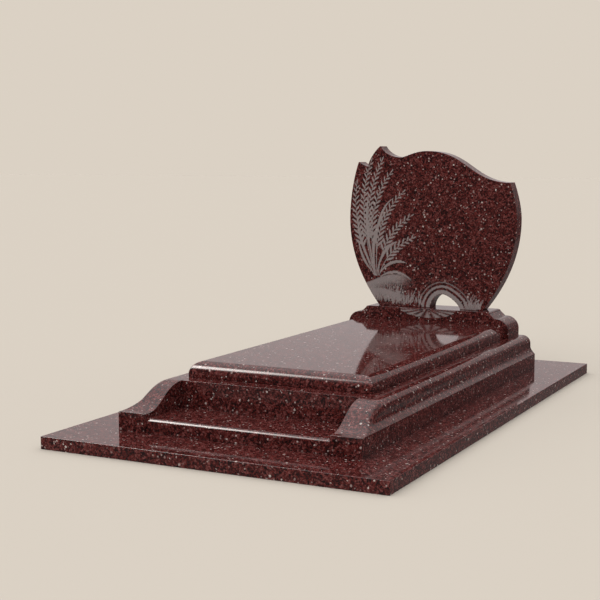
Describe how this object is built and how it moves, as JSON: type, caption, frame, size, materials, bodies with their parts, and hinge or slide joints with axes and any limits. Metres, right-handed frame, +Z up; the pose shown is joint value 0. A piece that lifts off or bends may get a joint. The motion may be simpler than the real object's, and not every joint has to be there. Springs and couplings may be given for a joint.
{
  "type": "headstone",
  "caption": "Polished granite grave monument: a shaped headstone on a moulded pedestal, with a ledger, scrolled kerbs and a low step on a base slab.",
  "frame": {"origin": "middle of the base slab's underside, on the ground", "axes": "+Y from the foot of the grave towards the headstone, +Z up, +X to the right of someone who stands at the foot and faces the headstone; the engraved face looks towards -Y"},
  "size_m": [1.392, 2.52, 1.1239],
  "materials": {
    "polished_granite": "mirror-polished dark red granite with black, grey and pale pink flecks",
    "engraved_granite": "the same polished dark red granite, with areas frosted pale grey by engraving"
  },
  "bodies": {
    "root": {"base_slab": "polished_granite", "kerb_left": "polished_granite", "kerb_right": "polished_granite", "front_step": "polished_granite", "front_riser": "polished_granite", "back_kerb": "polished_granite", "ledger": "polished_granite", "pedestal": "engraved_granite", "headstone": "engraved_granite"}
  },
  "joints": []
}
